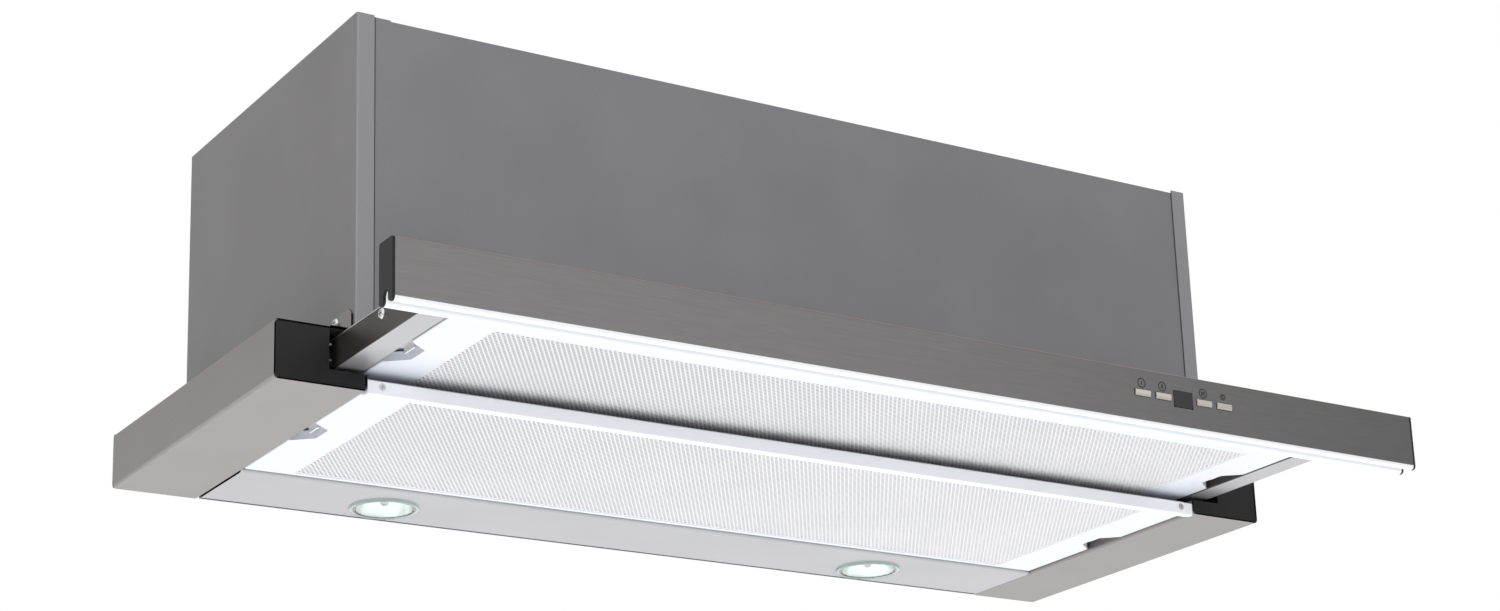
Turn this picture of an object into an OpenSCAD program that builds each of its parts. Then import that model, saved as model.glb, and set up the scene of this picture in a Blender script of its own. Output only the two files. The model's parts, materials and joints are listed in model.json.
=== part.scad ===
// Pull-out range hood, 90 cm class, with its drawer pulled out.
// +X runs along the width, +Y to the wall, +Z up. The origin is the middle of
// the bounding box, at the level of the lowest edge of the drawer front.

/* [Overall] */
// Width over the two wings and the drawer front
hood_w = 898; // [700:2:1100]
// Depth of the fixed part, from the wing caps to the wall
hood_depth = 310; // [280:1:400]
// Height of the cabinet above the wings
cabinet_h = 243; // [235:1:400]
// Distance from a wing's outer side to the cabinet's side
cabinet_inset = 58.5; // [45:0.5:60]
// Distance by which the cabinet stands forward of the wing caps
cabinet_overhang = 6.5; // [4:0.5:16]

/* [Sheet metal] */
// Thickness of the sheet of cabinet, wings, rails and lamp panel
sheet = 1; // [0.6:0.1:1.5]
// Outer radius of the wings' folds
wing_fold_r = 3; // [2:0.5:5]
// Gap left between neighbouring pieces that are assembled cold
fit_gap = 0.3; // [0.2:0.05:0.5]
// Gap round pieces that slide
slide_gap = 0.3; // [0.2:0.05:0.5]

/* [Wings] */
// Width of a wing's underside
wing_w = 71; // [65:1:90]
// Height of a wing
wing_h = 44; // [43:1:60]
// Height of the upturned lip along a wing's inner edge
wing_lip_h = 12; // [11:1:13]
// Width of the tall outer part of a wing's front cap
cap_tall_w = 42; // [34:1:42]
// Thickness of a cap's front plate and walls
cap_wall = 2; // [1.5:0.25:3]
// Depth of a cap's plug inside its wing
cap_plug = 26; // [12:1:60]

/* [Drawer] */
// How far the drawer front travels from closed to pulled out
drawer_travel = 168; // [100:1:175]
// Thickness of the drawer front
front_t = 20; // [18:1:26]
// Height of the drawer front
front_h = 44; // [42:1:50]
// How far the drawer front hangs below the wings
front_drop = 2; // [0:0.5:4]
// Thickness of the drawer front's black end caps
end_cap_t = 2; // [1:0.5:4]
// Depth of the finger groove under the drawer front
groove_depth = 9.5; // [6:0.5:12]
// Width of the finger groove
groove_w = 7; // [6:0.5:8]
// Width of a drawer rail's bottom flange
rail_flange = 22; // [18:1:22]
// Height of a drawer rail
rail_h = 22; // [20:1:22]
// Distance from the bottom of the wings to the bottom of the rails
rail_rise = 16; // [16:0.5:18]
// How far the rails reach behind the wing caps when pulled out
rail_tail = 122; // [60:1:125]

/* [Keys] */
// Length of a key along the drawer front
key_w = 14.5; // [8:0.5:15]
// Height of a key
key_h = 5.5; // [4:0.5:8]
// How far a key stands proud of the drawer front
key_proud = 1.5; // [1.5:0.25:3]
// Travel of a key
key_travel = 1.2; // [0.5:0.1:1.2]
// Distance from the drawer front's middle to the middle of the display
keys_x = 211; // [100:1:260]
// Spacing of the two keys on each side of the display
key_pitch = 20; // [16:1:24]
// Distance from the display to the nearer key on each side
key_gap = 20; // [18:1:26]
// Height of the keys above the drawer front's lower edge
keys_z = 24.8; // [22:0.1:28]

/* [Grease filters] */
// Thickness of a filter cassette
filter_t = 10; // [10:0.5:10.5]
// Gap between a cassette and the lips it fits between
filter_gap = 1.5; // [1:0.1:1.8]
// Plain border at the two short ends of a cassette
filter_end_border = 39; // [34:1:50]
// Plain border along the long sides of the fixed cassette
fixed_border = 5; // [4:0.5:16]
// Plain border along the long sides of the moving cassette
moving_border = 22; // [10:1:30]
// Depth of the moving cassette
moving_filter_d = 184; // [150:1:186]
// Spacing of the mesh openings along X
mesh_pitch_x = 28; // [20:1:40]
// Spacing of the mesh openings along Y
mesh_pitch_y = 16; // [12:1:24]
// Width of the strands between the openings
mesh_strand = 3; // [2:0.1:5]
// Length of a latch pocket at a cassette's edge
pocket_w = 48; // [40:1:60]
// Length of a latch pocket at its inner side
pocket_inner_w = 22; // [18:1:30]
// Depth of a latch pocket from a cassette's edge
pocket_depth = 16; // [12:1:20]
// Travel of a latch
latch_travel = 5; // [4.5:0.1:6]

/* [Lamps] */
// Distance of each lamp from the middle
lamp_x = 235; // [150:1:290]
// Distance of the lamps from the wall
lamp_y = 38; // [34:1:50]
// Radius of a lamp's glass
lamp_r = 28; // [22:0.5:30]
// Depth of the lamp panel, from the wall
lamp_panel_d = 85; // [80:1:100]

/* [Blower] */
// Outer radius of the outlet collar
collar_r = 74.5; // [60:0.5:74.5]
// Height of the outlet collar above the roof
collar_h = 38; // [30:1:40]
// Distance from the wall to the collar's axis
collar_y = 135; // [120:1:150]
// Width of the scroll case
scroll_w = 174; // [150:1:190]
// Radius of the scroll case at the start of its spiral
scroll_r0 = 84; // [82:1:86]
// Growth of the scroll case's radius over a full turn
scroll_growth = 30; // [24:1:34]
// Wall of the scroll case
scroll_wall = 2; // [1.5:0.25:3]
// Outer radius of the impeller
impeller_r = 74; // [66:0.5:76]
// Number of impeller blades
blades = 36; // [24:1:44]
// Radius of the fan motor
motor_r = 42; // [32:1:46]

/* [Mounting holes] */
// Spacing of the roof's screw holes along X
roof_hole_x = 720; // [500:1:740]
// Spacing of the roof's screw holes along Y
roof_hole_y = 250; // [230:1:260]
// Radius of the roof's screw holes
roof_hole_r = 3; // [2:0.25:5]

/* [Hidden] */
$fn = 48;
eps = 0.01;
cut = 1;

stainless = [0.66, 0.66, 0.66];
painted = [0.47, 0.47, 0.48];
black_plastic = [0.12, 0.12, 0.13];
white_aluminium = [0.93, 0.94, 0.95];
zinc = [0.75, 0.76, 0.78];
white_plastic = [0.9, 0.9, 0.88];

// Places in depth: the part is centred on its own bounding box
closed_gap = 0.5;
total_depth = hood_depth + closed_gap + drawer_travel + front_t + key_proud;
back_y = total_depth / 2;
cap_y = back_y - hood_depth;
front_back_y = cap_y - closed_gap - drawer_travel;
front_y = front_back_y - front_t;
cabinet_front_y = cap_y - cabinet_overhang;

// Places in height
wing_z = front_drop;
wing_top_z = wing_z + wing_h;
cabinet_top_z = wing_top_z + cabinet_h;
roof_drop = 2;
roof_z = cabinet_top_z - roof_drop;
rail_z = wing_z + rail_rise;
fixed_filter_z = wing_z + 2;

// Places across the width
half_w = hood_w / 2;
cabinet_half = half_w - cabinet_inset;
lip_x = half_w - wing_w;
rail_x = lip_x + rail_flange;
filter_half = lip_x - filter_gap;
cap_tall_x = half_w - cap_tall_w;

// ---------------------------------------------------------------- helpers

// Extrudes an (X, Z) outline from y0 to y1
module along_y(y0, y1) {
    translate([0, y1, 0]) rotate([90, 0, 0]) linear_extrude(y1 - y0) children();
}

// Extrudes a (Y, Z) outline from x0 to x1
module along_x(x0, x1) {
    translate([x0, 0, 0]) rotate([90, 0, 90]) linear_extrude(x1 - x0) children();
}

// Extrudes an (X, Y) outline from z0 to z1
module along_z(z0, z1) {
    translate([0, 0, z0]) linear_extrude(z1 - z0) children();
}

// Block between two corners
module block(a, b) {
    translate(a) cube(b - a);
}

// Rectangle between two corners
module area(a, b) {
    translate(a) square(b - a);
}

// Rectangle between two corners, its corners rounded by arcs
module round_area(a, b, r) {
    area([a.x + r, a.y], [b.x - r, b.y]);
    area([a.x, a.y + r], [b.x, b.y - r]);
    for (x = [a.x + r, b.x - r], y = [a.y + r, b.y - r])
        translate([x, y]) circle(r);
}

// Makes the left-hand twin of a right-hand piece
module on_left() {
    mirror([1, 0, 0]) children();
}

// Both twins of a right-hand piece
module on_both() {
    children();
    on_left() children();
}

// Cylinder along X, from x0 to x1
module rod_x(x0, x1, r) {
    translate([x0, 0, 0]) rotate([0, 90, 0]) cylinder(h = x1 - x0, r = r);
}

// Pan-head screw along +Z, its head's underside at z = 0
module pan_screw(head_r, head_h, shank_r, shank_l) {
    slot_w = head_r / 4;
    slot_l = head_r * 1.1;
    difference() {
        union() {
            cylinder(h = head_h * 0.5, r = head_r);
            translate([0, 0, head_h * 0.5]) cylinder(h = head_h * 0.5, r1 = head_r, r2 = head_r * 0.72);
        }
        for (a = [0, 90])
            rotate([0, 0, a])
                translate([-slot_l / 2, -slot_w / 2, head_h * 0.5]) cube([slot_l, slot_w, head_h]);
    }
    translate([0, 0, -shank_l]) cylinder(h = shank_l + eps, r = shank_r);
}

// Countersunk screw along +Z, its head's face at z = 0
module flat_screw(head_r, head_h, shank_r, shank_l) {
    slot_w = head_r / 4;
    slot_l = head_r * 1.1;
    difference() {
        translate([0, 0, -head_h]) cylinder(h = head_h, r1 = shank_r, r2 = head_r);
        for (a = [0, 90])
            rotate([0, 0, a])
                translate([-slot_l / 2, -slot_w / 2, -head_h * 0.6]) cube([slot_l, slot_w, head_h]);
    }
    translate([0, 0, -shank_l]) cylinder(h = shank_l - head_h + eps, r = shank_r);
}

// ---------------------------------------------------------------- cabinet

flange = 14;
cabinet_fold_r = 1.5;
roof_hole_inner = collar_r - 2;
gland_x = -240;
gland_y = back_y - 50;
gland_hole_r = 8;

// Side sheet with folded edges: front and back over the panels, top under the roof
module side_panel() {
    outer_x = cabinet_half;
    inner_x = cabinet_half - flange;
    along_z(wing_top_z, cabinet_top_z)
        difference() {
            round_area([inner_x - cabinet_fold_r, cabinet_front_y], [outer_x, back_y], cabinet_fold_r);
            area([inner_x - 2 * cabinet_fold_r, cabinet_front_y + sheet], [outer_x - sheet, back_y - sheet]);
            area([inner_x - 2 * cabinet_fold_r, cabinet_front_y - cut], [inner_x, back_y + cut]);
        }
    inside_y0 = cabinet_front_y + 2 * sheet + fit_gap;
    inside_y1 = back_y - 2 * sheet - fit_gap;
    block([inner_x, inside_y0, roof_z - 2 * sheet], [outer_x - sheet / 2, inside_y1, roof_z - sheet]);
    block([inner_x, inside_y0, wing_top_z], [outer_x - sheet / 2, inside_y1, wing_top_z + sheet]);
}

module left_side_panel() {
    color(painted) on_left() side_panel();
}

module right_side_panel() {
    color(painted) side_panel();
}

// Front sheet behind the side flanges, with an ear at its upper left corner
module front_panel() {
    half = cabinet_half - sheet - fit_gap;
    ear_x = flange + 14 - cabinet_half;
    ear_h = roof_drop / 2;
    y0 = cabinet_front_y + sheet;
    hem = 12;
    color(painted) {
        along_y(y0, y0 + sheet)
            polygon([
                [-half, wing_top_z], [half, wing_top_z], [half, roof_z],
                [ear_x, roof_z], [ear_x - ear_h, roof_z + ear_h], [-half, roof_z + ear_h]
            ]);
        block([-cabinet_half + flange + fit_gap, y0 + sheet / 2, roof_z - 2 * sheet],
              [cabinet_half - flange - fit_gap, y0 + hem, roof_z - sheet]);
        block([-cabinet_half + flange + fit_gap, y0 + sheet / 2, wing_top_z],
              [cabinet_half - flange - fit_gap, y0 + hem, wing_top_z + sheet]);
    }
}

// Back sheet, which reaches down between the wings and closes the lamp panel
module back_panel() {
    half = cabinet_half - sheet - fit_gap;
    low_half = lip_x - fit_gap;
    color(painted)
        along_y(back_y - 2 * sheet, back_y - sheet) {
            area([-half, wing_top_z], [half, cabinet_top_z - roof_drop - sheet - fit_gap]);
            area([-low_half, wing_z], [low_half, wing_top_z + cut]);
        }
}

// Roof sheet with the duct opening, the cable hole and the four screw holes
module roof_panel() {
    half = cabinet_half - sheet - fit_gap;
    y0 = cabinet_front_y + 2 * sheet + fit_gap;
    y1 = back_y - sheet - fit_gap;
    mid_y = (y0 + y1) / 2;
    color(painted)
        along_z(roof_z - sheet, roof_z)
            difference() {
                area([-half, y0], [half, y1]);
                translate([0, back_y - collar_y]) circle(roof_hole_inner);
                translate([gland_x, gland_y]) circle(gland_hole_r);
                for (x = [-1, 1], y = [-1, 1])
                    translate([x * roof_hole_x / 2, mid_y + y * roof_hole_y / 2]) circle(roof_hole_r);
            }
}

// ---------------------------------------------------------------- wings

slot_clear = 0.5;
latch_w = 18;
latch_t = 1.5;
latch_rise = 7;
fixed_filter_y0 = cap_y + 8;
fixed_filter_y1 = back_y - lamp_panel_d - 3;
fixed_latch_y = (fixed_filter_y0 + fixed_filter_y1) / 2;
wing_flange_in = max(cabinet_half - 6, lip_x + sheet + wing_fold_r);

// Cutter for the slot in a lip that takes the bolt of a latch
module latch_slot(mid_y, filter_z) {
    half = latch_w / 2 + slot_clear;
    low = filter_z + latch_rise - slot_clear;
    block([lip_x - cut, mid_y - half, low],
          [lip_x + 2 * sheet, mid_y + half, low + latch_t + 2 * slot_clear]);
}

// Folded sheet channel: outer side, underside with its lip, and top flange
module wing() {
    difference() {
        along_y(cap_y, back_y)
            difference() {
                round_area([lip_x, wing_z], [half_w, wing_top_z], wing_fold_r);
                round_area([lip_x + sheet, wing_z + sheet], [half_w - sheet, wing_top_z - sheet],
                           wing_fold_r - sheet);
                area([lip_x - cut, wing_z + wing_lip_h], [wing_flange_in, wing_top_z + cut]);
            }
        latch_slot(fixed_latch_y, fixed_filter_z);
    }
    along_y(back_y - sheet, back_y)
        area([lip_x + wing_fold_r + 6, wing_z + sheet / 2], [half_w - sheet / 2, wing_top_z - sheet / 2]);
}

module left_wing() {
    color(stainless) on_left() wing();
}

module right_wing() {
    color(stainless) wing();
}

cap_recess = 0.5;
cap_step_z = wing_z + wing_lip_h + 0.5;
rivet_r = 1.6;
rivet_head = 1.4;
rivet_z = wing_z + 25;
rivet_y = cap_y + 4;

// L-shaped plastic cap that closes a wing's front and leaves the rail its passage
module wing_cap() {
    in_x = lip_x + sheet + fit_gap;
    out_x = half_w - sheet - fit_gap;
    low_z = wing_z + sheet + fit_gap;
    high_z = wing_top_z - sheet - fit_gap;
    r = wing_fold_r - sheet;
    difference() {
        along_y(cap_y + cap_recess, cap_y + cap_recess + cap_plug)
            difference() {
                round_area([in_x, low_z], [out_x, high_z], r);
                area([in_x - cut, cap_step_z], [cap_tall_x, high_z + cut]);
            }
        along_y(cap_y + cap_recess + cap_wall, cap_y + cap_recess + cap_plug + cut) {
            area([cap_tall_x + cap_wall, low_z + cap_wall], [out_x - cap_wall, high_z - cap_wall]);
            area([in_x + cap_wall, low_z + cap_wall], [cap_tall_x + 2 * cap_wall, cap_step_z - cap_wall]);
        }
        translate([0, rivet_y, rivet_z]) rod_x(cap_tall_x - cut, cap_tall_x + cap_wall + cut, rivet_r * 0.6);
    }
}

module left_wing_cap() {
    color(black_plastic) on_left() wing_cap();
}

module right_wing_cap() {
    color(black_plastic) wing_cap();
}

// ---------------------------------------------------------------- cross bar

bar_t = 6;
bar_low_z = wing_z - 1.5;
bar_h = 10.5;
bar_half = lip_x - 0.5;
bar_screw_x = lip_x - 12;
bar_screw_z = wing_z + 5;
bar_ledge = 3.5;

// Extruded bar between the wings, with a toe below and a ledge behind for the filter
module cross_bar() {
    top_z = bar_low_z + bar_h;
    color(white_aluminium)
        difference() {
            along_x(-bar_half, bar_half) {
                round_area([cap_y, bar_low_z], [cap_y + bar_t, top_z], 1);
                area([cap_y + bar_t - 1, bar_low_z + 1],
                     [cap_y + bar_t + bar_ledge, fixed_filter_z - fit_gap]);
            }
            for (x = [-1, 1])
                translate([x * bar_screw_x, cap_y, bar_screw_z]) rotate([90, 0, 0]) {
                    translate([0, 0, -1.6]) cylinder(h = 1.6 + eps, r1 = 1.4, r2 = 2.9);
                    translate([0, 0, -bar_t - cut]) cylinder(h = bar_t + cut, r = 1.4);
                }
        }
}

// ---------------------------------------------------------------- lamps

lamp_cy = back_y - lamp_y;
panel_front_y = back_y - lamp_panel_d;
panel_hem = 12;
lamp_hole_r = lamp_r - 2.5;

// Tray between the wings that carries the lamps, folded up in front and behind
module lamp_panel() {
    half = lip_x - fit_gap;
    y1 = back_y - 2 * sheet - fit_gap;
    rear_h = 26;
    color(stainless)
        difference() {
            along_x(-half, half) {
                difference() {
                    round_area([panel_front_y, wing_z], [y1, wing_z + rear_h], wing_fold_r);
                    round_area([panel_front_y + sheet, wing_z + sheet], [y1 - sheet, wing_z + rear_h + 4],
                               wing_fold_r - sheet);
                    area([panel_front_y - cut, wing_z + panel_hem], [y1 - sheet, wing_z + rear_h + cut]);
                }
            }
            for (s = [-1, 1])
                translate([s * lamp_x, lamp_cy, wing_z - cut]) cylinder(h = 2 * cut + sheet, r = lamp_hole_r);
        }
}

can_h = 31;

// Steel cans behind the reflectors
module lamp_cans() {
    color(zinc)
        for (s = [-1, 1])
            translate([s * lamp_x, lamp_cy, wing_z + sheet])
                rotate_extrude()
                    difference() {
                        union() {
                            area([0, 0], [lamp_r - 0.5, can_h - 6]);
                            area([0, 0], [lamp_r - 9, can_h]);
                            area([0, 0], [lamp_r + 3, 1]);
                        }
                        area([-cut, -cut], [lamp_r - 1.5, can_h - 7]);
                        area([-cut, -cut], [lamp_r - 10, can_h - 1]);
                    }
}

reflector_h = 20;
reflector_t = 0.8;
reflector_mouth = lamp_hole_r - reflector_t - fit_gap;
reflector_neck = 7;
function bowl_r(k) = reflector_neck + (reflector_mouth - reflector_neck) * sqrt(k);

// Parabolic bowls, open downwards
module lamp_reflectors() {
    steps = 10;
    bowl = [for (i = [0 : steps]) [bowl_r(1 - i / steps), reflector_h * i / steps]];
    back = [for (i = [steps : -1 : 0]) [bowl_r(1 - i / steps) + reflector_t, reflector_h * i / steps]];
    color([0.95, 0.95, 0.95])
        for (s = [-1, 1])
            translate([s * lamp_x, lamp_cy, wing_z - fit_gap]) {
                rotate_extrude() polygon(concat(bowl, back));
                translate([0, 0, reflector_h])
                    difference() {
                        cylinder(h = 5, r = reflector_neck + reflector_t);
                        translate([0, 0, 3]) cylinder(h = 3, r = reflector_neck - 2);
                        translate([0, 0, -cut]) cylinder(h = 3, r = reflector_neck - 3);
                    }
            }
}

// Halogen capsules in the reflectors' necks
module lamp_capsules() {
    bulb_r = 3.6;
    color([0.97, 0.96, 0.9])
        for (s = [-1, 1])
            translate([s * lamp_x, lamp_cy, wing_z + 6]) {
                sphere(bulb_r);
                cylinder(h = reflector_h - 6 - fit_gap + 1.5, r = bulb_r);
            }
}

// Glass discs under the lamps, with a raised rim
module lamp_glasses() {
    glass_t = 1.7;
    color([0.8, 0.92, 0.88, 0.5])
        for (s = [-1, 1])
            translate([s * lamp_x, lamp_cy, wing_z - glass_t - fit_gap])
                difference() {
                    cylinder(h = glass_t, r = lamp_r);
                    translate([0, 0, -cut]) cylinder(h = cut + 0.6, r1 = lamp_r - 3, r2 = lamp_r - 5);
                }
}

// ---------------------------------------------------------------- brackets

bracket_h = 16;
bracket_l = 38;
bracket_t = 1.2;
bracket_foot = 16;
bracket_chamfer = 4.5;
bracket_lead = 2.5;
bracket_screw_z = wing_top_z + 10.8;
bracket_screw_y = 23.5;
bracket_hole_r = 1.9;
front_bracket_y = cap_y - bracket_lead;

// Angle that ties the wing's top to the cabinet's side
module bracket(y0) {
    x0 = cabinet_half + fit_gap / 2;
    y1 = y0 + bracket_l;
    z1 = wing_top_z + bracket_h;
    difference() {
        along_x(x0, x0 + bracket_t)
            polygon([
                [y0, wing_top_z], [y1, wing_top_z], [y1, z1 - bracket_chamfer],
                [y1 - bracket_chamfer, z1], [y0 + bracket_chamfer, z1], [y0, z1 - bracket_chamfer]
            ]);
        translate([0, y0 + bracket_screw_y, bracket_screw_z])
            rod_x(x0 - cut, x0 + bracket_t + cut, bracket_hole_r);
    }
    block([x0, max(y0, cap_y) + fit_gap, wing_top_z], [x0 + bracket_foot, y1, wing_top_z + bracket_t]);
}

rear_bracket_y = back_y - bracket_l - 20;

module left_brackets() {
    color(stainless) on_left() {
        bracket(front_bracket_y);
        bracket(rear_bracket_y);
    }
}

module right_brackets() {
    color(stainless) {
        bracket(front_bracket_y);
        bracket(rear_bracket_y);
    }
}

// Screws of the cross bar and the four brackets, and the rivets of the two wing caps
module hood_screws() {
    head_x = cabinet_half + fit_gap / 2 + bracket_t;
    color(zinc)
        on_both() {
            translate([bar_screw_x, cap_y + 0.1, bar_screw_z]) rotate([90, 0, 0])
                flat_screw(2.6, 1.4, 1.2, bar_t);
            for (y0 = [front_bracket_y, rear_bracket_y])
                translate([head_x, y0 + bracket_screw_y, bracket_screw_z]) rotate([0, 90, 0])
                    pan_screw(3.6, 2.4, 1.7, bracket_t);
            translate([cap_tall_x, rivet_y, rivet_z]) rotate([0, -90, 0]) {
                cylinder(h = rivet_head, r1 = rivet_r, r2 = rivet_r * 0.6);
                translate([0, 0, -cap_wall]) cylinder(h = cap_wall + eps, r = rivet_r * 0.55);
            }
        }
}

// ---------------------------------------------------------------- runners

glide_z0 = rail_z + 6;
glide_h = 10;
glide_depth = 4.7;
runner_web_x = rail_x + glide_depth + slide_gap;
rail_screw_head = 2.5;
runner_lip_x = rail_x + rail_screw_head + 0.4;
buffer_x = runner_lip_x + slide_gap;
runner_y0 = rivet_y + rivet_r + fit_gap;
runner_y1 = back_y - 14;
runner_sheet = 1.2;
hanger_w = 18;
hanger_y0 = cap_y + cap_recess + cap_plug + fit_gap;

// Fixed channel in a wing, hung from the wing's top flange
module runner() {
    low = glide_z0 - slide_gap;
    high = glide_z0 + glide_h + slide_gap;
    top = wing_top_z - sheet - fit_gap / 3;
    along_y(runner_y0, runner_y1) {
        area([runner_web_x, low - runner_sheet], [runner_web_x + runner_sheet, top]);
        area([runner_lip_x, low - runner_sheet], [runner_web_x + eps, low]);
        area([runner_lip_x, high], [runner_web_x + eps, high + runner_sheet]);
    }
    block([runner_web_x, hanger_y0, top - runner_sheet], [runner_web_x + hanger_w, runner_y1, top]);
    block([runner_lip_x, runner_y1 - runner_sheet, low - eps], [runner_web_x + eps, runner_y1, high + eps]);
}

module left_runner() {
    color(zinc) on_left() runner();
}

module right_runner() {
    color(zinc) runner();
}

glide_l = 104;
buffer_l = 8;
glide_y1 = cap_y + rail_tail;
glide_y0 = glide_y1 - glide_l;

// Rubber buffers at the two ends of each runner, which stop the glides
module runner_buffers() {
    color(black_plastic)
        on_both() {
            block([buffer_x, glide_y0 - buffer_l - fit_gap, glide_z0 + 0.5],
                  [runner_web_x, glide_y0 - fit_gap, glide_z0 + glide_h - 0.5]);
            block([buffer_x, glide_y1 + drawer_travel + fit_gap, glide_z0 + 0.5],
                  [runner_web_x, runner_y1 - runner_sheet, glide_z0 + glide_h - 0.5]);
        }
}

// ---------------------------------------------------------------- blower

axis_y = back_y - collar_y - 79;
axis_z = wing_top_z + 114;
scroll_step = 6;
tongue_a = 60;
neck_h = 95;
inlet_r = impeller_r - 13;
function scroll_r(a) = scroll_r0 + scroll_growth * a / 360;
function scroll_points(wall) = concat(
    [for (a = [tongue_a : scroll_step : 360]) (scroll_r(a) - wall) * [cos(a), sin(a)]],
    [[scroll_r(360) - wall, neck_h], [scroll_r(tongue_a) * cos(tongue_a) + wall, neck_h]]
);
neck_y0 = axis_y + scroll_r(tongue_a) * cos(tongue_a);
neck_y1 = axis_y + scroll_r(360);

// Spiral case of the fan, open at both inlets and at the top of its neck
module blower_scroll() {
    half = scroll_w / 2;
    color(white_plastic)
        difference() {
            union() {
                translate([0, axis_y, axis_z]) along_x(-half, half) polygon(scroll_points(0));
                translate([half, axis_y, axis_z]) rotate([0, 90, 0])
                    cylinder(h = 5, r1 = inlet_r + 7, r2 = inlet_r + 3);
            }
            translate([0, axis_y, axis_z])
                along_x(-half + scroll_wall, half - scroll_wall) polygon(scroll_points(scroll_wall));
            block([-half + scroll_wall, neck_y0 + scroll_wall, axis_z + neck_h - cut],
                  [half - scroll_wall, neck_y1 - scroll_wall, axis_z + neck_h + cut]);
            translate([0, axis_y, axis_z]) rod_x(-half - cut, half + 5 + cut, inlet_r);
        }
}

adapter_wall = 1.6;
adapter_top = roof_z - sheet - 0.2;
adapter_flange_t = 2;

// Tapered duct from the scroll's neck to the round hole in the roof
module outlet_adapter() {
    low = [scroll_w / 2 + fit_gap, (neck_y1 - neck_y0) / 2 + fit_gap];
    low_y = (neck_y0 + neck_y1) / 2;
    duct_y = back_y - collar_y;
    skirt_z0 = axis_z + neck_h - 12;
    skirt_z1 = axis_z + neck_h + 1;
    round_z = adapter_top - adapter_flange_t;
    rim = roof_hole_inner + adapter_wall;
    wall = [adapter_wall, adapter_wall];
    high = [rim, rim];
    module taper(z0, z1, a, b) {
        intersection() {
            along_y(low_y - a.x - b.x, low_y + a.x + b.x)
                polygon([[-a.x, z0], [a.x, z0], [b.x, z1], [-b.x, z1]]);
            translate([0, low_y, 0]) along_x(-a.x - b.x, a.x + b.x)
                polygon([[-a.y, z0], [a.y, z0], [b.y, z1], [-b.y, z1]]);
        }
    }
    color(white_plastic) {
        along_z(skirt_z0, skirt_z1 + eps)
            difference() {
                translate([0, low_y]) square(2 * (low + wall), center = true);
                translate([0, low_y]) square(2 * low, center = true);
            }
        difference() {
            taper(skirt_z1, round_z + eps, low + wall, high);
            taper(skirt_z1 - eps, round_z + 2 * eps, low, high - wall);
        }
        along_z(round_z, adapter_top)
            difference() {
                round_area([-low.x - 6, duct_y - rim - 10], [low.x + 6, duct_y + rim + 10], 8);
                translate([0, duct_y]) circle(roof_hole_inner);
            }
    }
}

motor_half = scroll_w / 2;
motor_front = 30;
shaft_r = 4;
shaft_gap = 0.1;

// Fan motor inside the impeller, carried at its left end
module fan_motor() {
    color(zinc)
        translate([0, axis_y, axis_z])
            difference() {
                union() {
                    rod_x(-motor_half, motor_front - 10, motor_r);
                    rod_x(motor_front - 10 - eps, motor_front - 4, motor_r - 6);
                    rod_x(motor_front - 4 - eps, motor_front, 12);
                }
                rod_x(-10, motor_front + cut, shaft_r + slide_gap);
            }
}

// Three-armed plate that holds the motor on the scroll's left side
module motor_bracket() {
    arm_w = 14;
    arm_l = inlet_r + 16;
    plate_t = 3;
    color(zinc)
        translate([-motor_half - plate_t, axis_y, axis_z]) rotate([90, 0, 90])
            linear_extrude(plate_t) {
                circle(30);
                for (a = [90, 210, 330])
                    rotate(a) {
                        area([0, -arm_w / 2], [arm_l - arm_w / 2, arm_w / 2]);
                        translate([arm_l - arm_w / 2, 0]) circle(arm_w / 2);
                    }
            }
}

blade_t = 1.2;
blade_in_r = impeller_r - 12;
blade_arc_r = 9;
impeller_half = scroll_w / 2 - 9;
disc_x = motor_front + 8;

// Squirrel-cage rotor: arched blades between two rings, driven by a disc and hub
module impeller() {
    color([0.25, 0.25, 0.27])
        translate([0, axis_y, axis_z]) {
            for (i = [0 : blades - 1])
                along_x(-impeller_half, impeller_half)
                    rotate(i * 360 / blades)
                        intersection() {
                            translate([(impeller_r + blade_in_r) / 2, blade_arc_r - 1.5])
                                difference() {
                                    circle(blade_arc_r);
                                    circle(blade_arc_r - blade_t);
                                }
                            area([blade_in_r + 1, -2], [impeller_r - 1, blade_arc_r * 0.75]);
                        }
            for (x = [-impeller_half, impeller_half - 3])
                along_x(x, x + 3)
                    difference() {
                        circle(impeller_r);
                        circle(blade_in_r);
                    }
            along_x(disc_x, disc_x + 2)
                difference() {
                    circle(blade_in_r + 3);
                    circle(shaft_r + 2);
                }
            along_x(disc_x - 2, disc_x + 14)
                difference() {
                    circle(shaft_r + 5);
                    circle(shaft_r + shaft_gap);
                }
        }
}

module motor_shaft() {
    color(zinc)
        translate([0, axis_y, axis_z]) rod_x(-9, disc_x + 18, shaft_r);
}

flap_z = roof_z + 12;
flap_axis = 4;
flap_pin_r = 1.5;
flap_t = 1.5;
collar_wall = 2;
collar_in = collar_r - collar_wall;

// Round outlet on the roof, bored for the flaps' pivot pins
module duct_collar() {
    rib = 3;
    color(black_plastic)
        translate([0, back_y - collar_y, roof_z])
            difference() {
                union() {
                    cylinder(h = collar_h, r = collar_r);
                    cylinder(h = 2, r = collar_r + 16);
                }
                translate([0, 0, -cut]) cylinder(h = collar_h + 2 * cut, r = collar_in);
                for (s = [-1, 1])
                    translate([0, s * flap_axis, flap_z - roof_z])
                        rod_x(-collar_r - cut, collar_r + cut, flap_pin_r + 0.1);
                for (a = [45 : 90 : 315])
                    rotate([0, 0, a]) translate([collar_r + 9, 0, -cut]) cylinder(h = 4, r = 2);
            }
    color(black_plastic)
        translate([0, back_y - collar_y, flap_z - flap_t / 2 - fit_gap])
            intersection() {
                translate([-collar_r, -1.5, -rib]) cube([2 * collar_r, 3, rib]);
                cylinder(h = 2 * rib, r = collar_in + 1, center = true);
            }
}

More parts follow.
